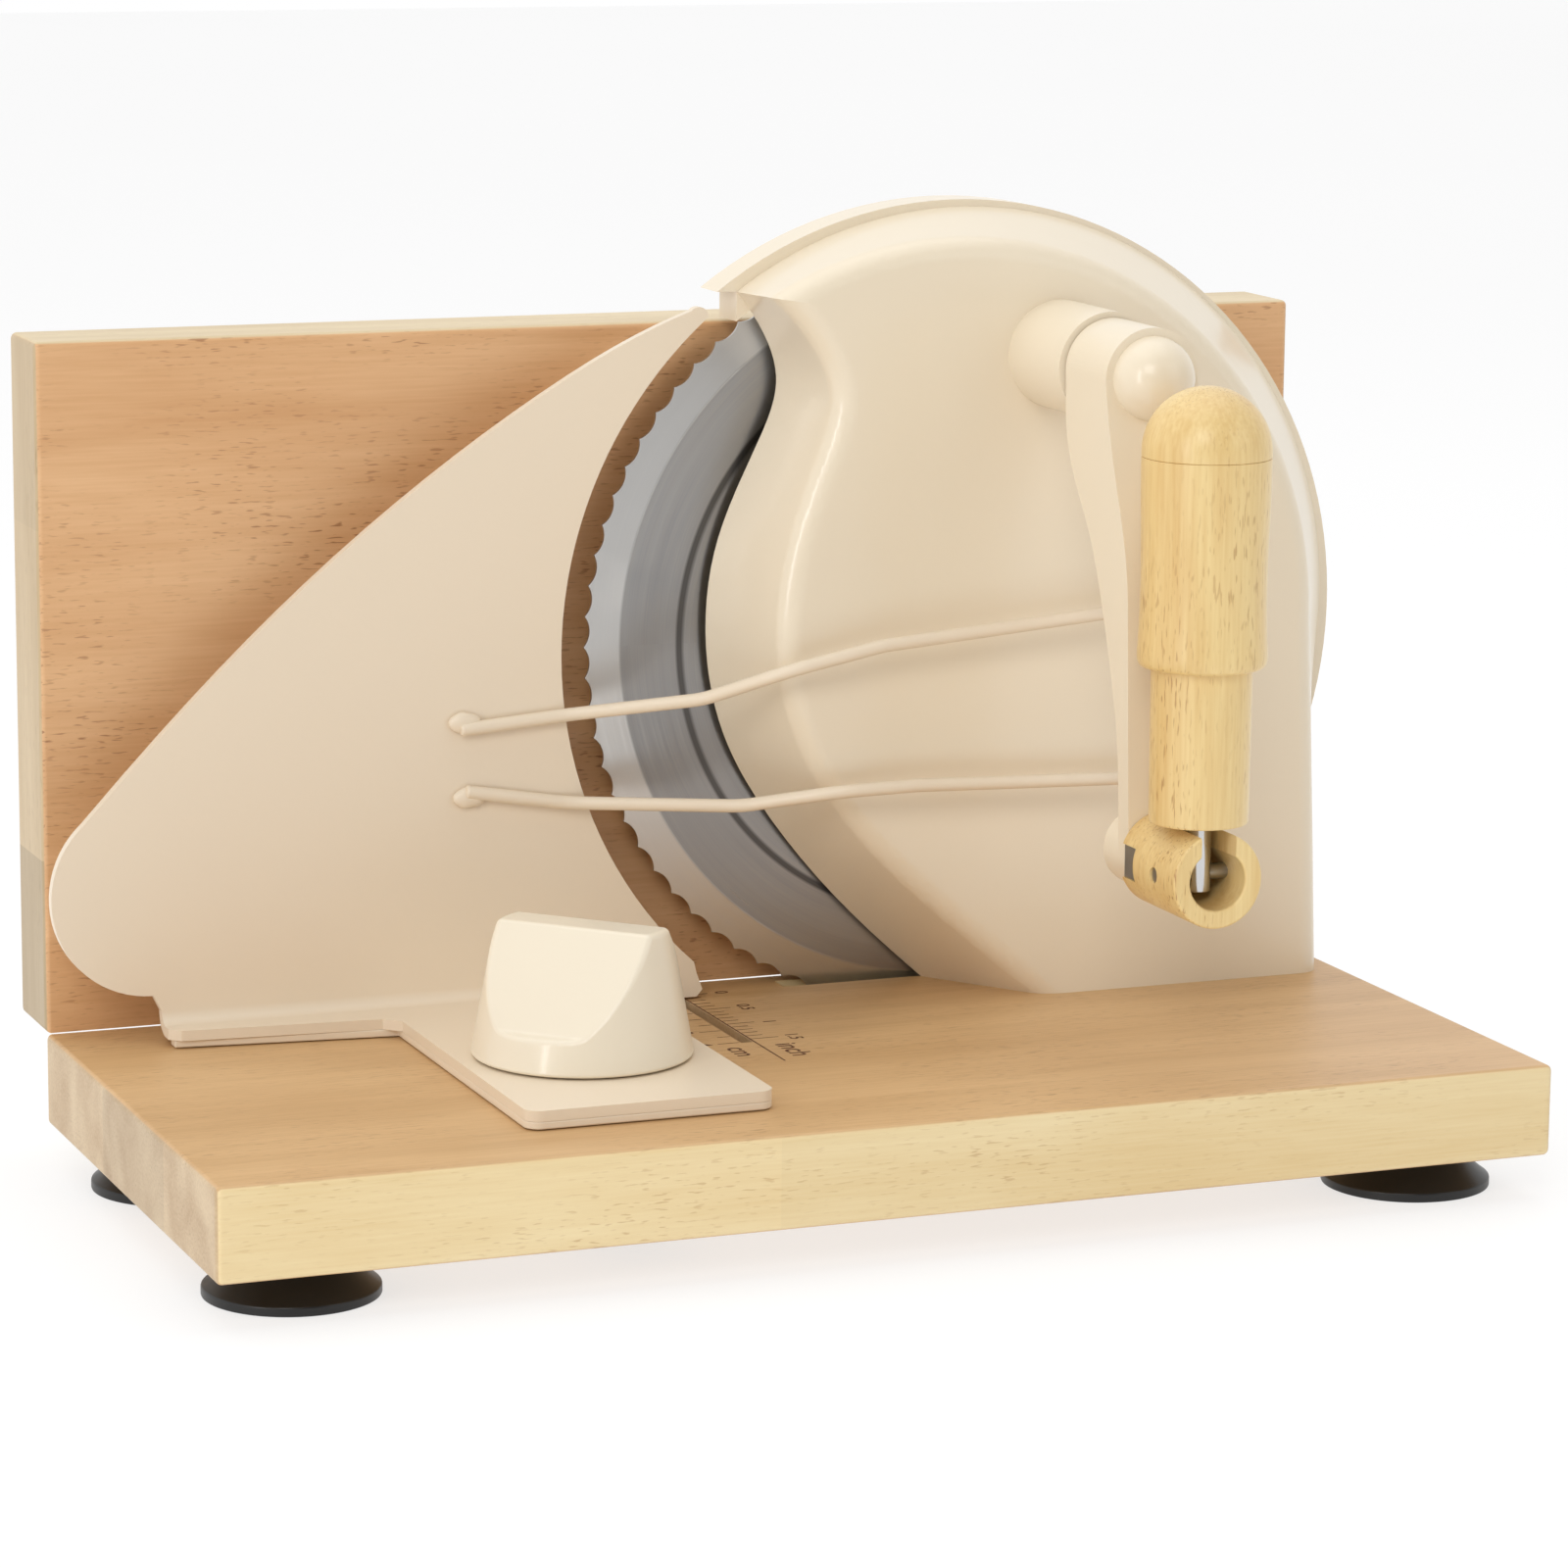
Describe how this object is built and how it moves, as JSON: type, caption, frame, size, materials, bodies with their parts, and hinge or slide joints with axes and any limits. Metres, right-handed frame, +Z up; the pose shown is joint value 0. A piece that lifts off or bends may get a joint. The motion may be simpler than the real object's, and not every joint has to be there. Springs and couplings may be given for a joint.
{
  "type": "hand-cranked bread slicer",
  "caption": "Table bread slicer: round toothed blade in a cream gear case on a wooden base, crank with folding wooden handle, sliding slice guide, folded-up bread bed.",
  "frame": {"origin": "on the table, in the middle of the slicer's bounding box seen from above", "axes": "+X to the right of the user who turns the crank, -Y towards that user, +Z up"},
  "size_m": [0.2674, 0.144, 0.1813],
  "materials": {
    "board": "clear varnish over pale beech",
    "bed_wood": "clear varnish over warm beech",
    "handle_wood": "clear varnish over yellow beech",
    "enamel": "glossy cream enamel",
    "knob_plastic": "glossy cream",
    "rubber": "smooth black",
    "blade_steel": "ground in circles",
    "steel": "plain",
    "wire": "bright plated",
    "gear_plastic": "natural nylon",
    "bronze": "plain",
    "insert_brass": "plain"
  },
  "bodies": {
    "frame": {"base_board": "board", "foot_front_left": "rubber", "foot_front_right": "rubber", "foot_rear_left": "rubber", "foot_rear_right": "rubber", "foot_screws": "steel", "housing": "enamel", "shaft_bush": "bronze", "gear_cover": "steel", "cover_screws": "steel", "blade_axle": "steel", "axle_washer": "steel", "axle_screw": "steel", "case_screws": "steel", "hinge_base_leaves": "steel", "hinge_pins": "steel", "hinge_base_screws": "steel"},
    "bed": {"bed_board": "bed_wood", "hinge_bed_leaves": "steel", "hinge_bed_screws": "steel", "bed_feet": "rubber", "bed_foot_screws": "steel"},
    "guide": {"guide_plate": "enamel", "tab_pad": "knob_plastic", "upper_wire": "enamel", "lower_wire": "enamel", "guide_pin": "steel", "clamp_bolt": "steel", "clamp_washer": "steel"},
    "clamp_knob": {"knob": "knob_plastic", "knob_insert": "insert_brass"},
    "crank": {"crank_shaft": "steel", "drive_gear": "gear_plastic", "gear_pin": "steel", "crank_arm": "enamel", "grub_screw": "steel", "knuckle_key": "steel", "knuckle_barrel": "handle_wood", "knuckle_screw": "steel", "fold_pin": "steel"},
    "handle_rod": {"grip_rod": "wire", "rod_nut": "steel"},
    "grip": {"grip_body": "handle_wood", "grip_cap": "handle_wood"},
    "cutter": {"blade": "blade_steel", "blade_gear": "gear_plastic", "blade_screws": "steel"}
  },
  "joints": [
    {"name": "bed_fold", "type": "hinge", "parent": "frame", "child": "bed", "pos_m": [-0.00175, 0.04608, 0.02608], "axis": [-1, 0, 0], "range_deg": [0, 90]},
    {"name": "guide_slide", "type": "slide", "parent": "frame", "child": "guide", "axis": [0, -1, 0], "range_m": [-0.004, 0.03]},
    {"name": "knob_turn", "type": "hinge", "parent": "guide", "child": "clamp_knob", "pos_m": [-0.04575, -0.0167, 0.03], "axis": [0, 0, 1], "range_deg": [0, 180]},
    {"name": "crank_spin", "type": "hinge", "parent": "frame", "child": "crank", "pos_m": [0.06224, -0.002, 0.15311], "axis": [0, 1, 0], "continuous": true},
    {"name": "blade_spin", "type": "hinge", "parent": "frame", "child": "cutter", "pos_m": [0.05145, 0.039, 0.096], "axis": [0, 1, 0], "continuous": true},
    {"name": "handle_fold", "type": "hinge", "parent": "crank", "child": "handle_rod", "pos_m": [0.06224, -0.0529, 0.06391], "axis": [1, 0, 0], "range_deg": [0, 90]},
    {"name": "grip_spin", "type": "hinge", "parent": "handle_rod", "child": "grip", "pos_m": [0.06224, -0.0529, 0.10391], "axis": [0, 0, 1], "continuous": true}
  ],
  "couplings": [
    {"joint": "blade_spin", "follows": "crank_spin", "ratio": -0.43077}
  ]
}
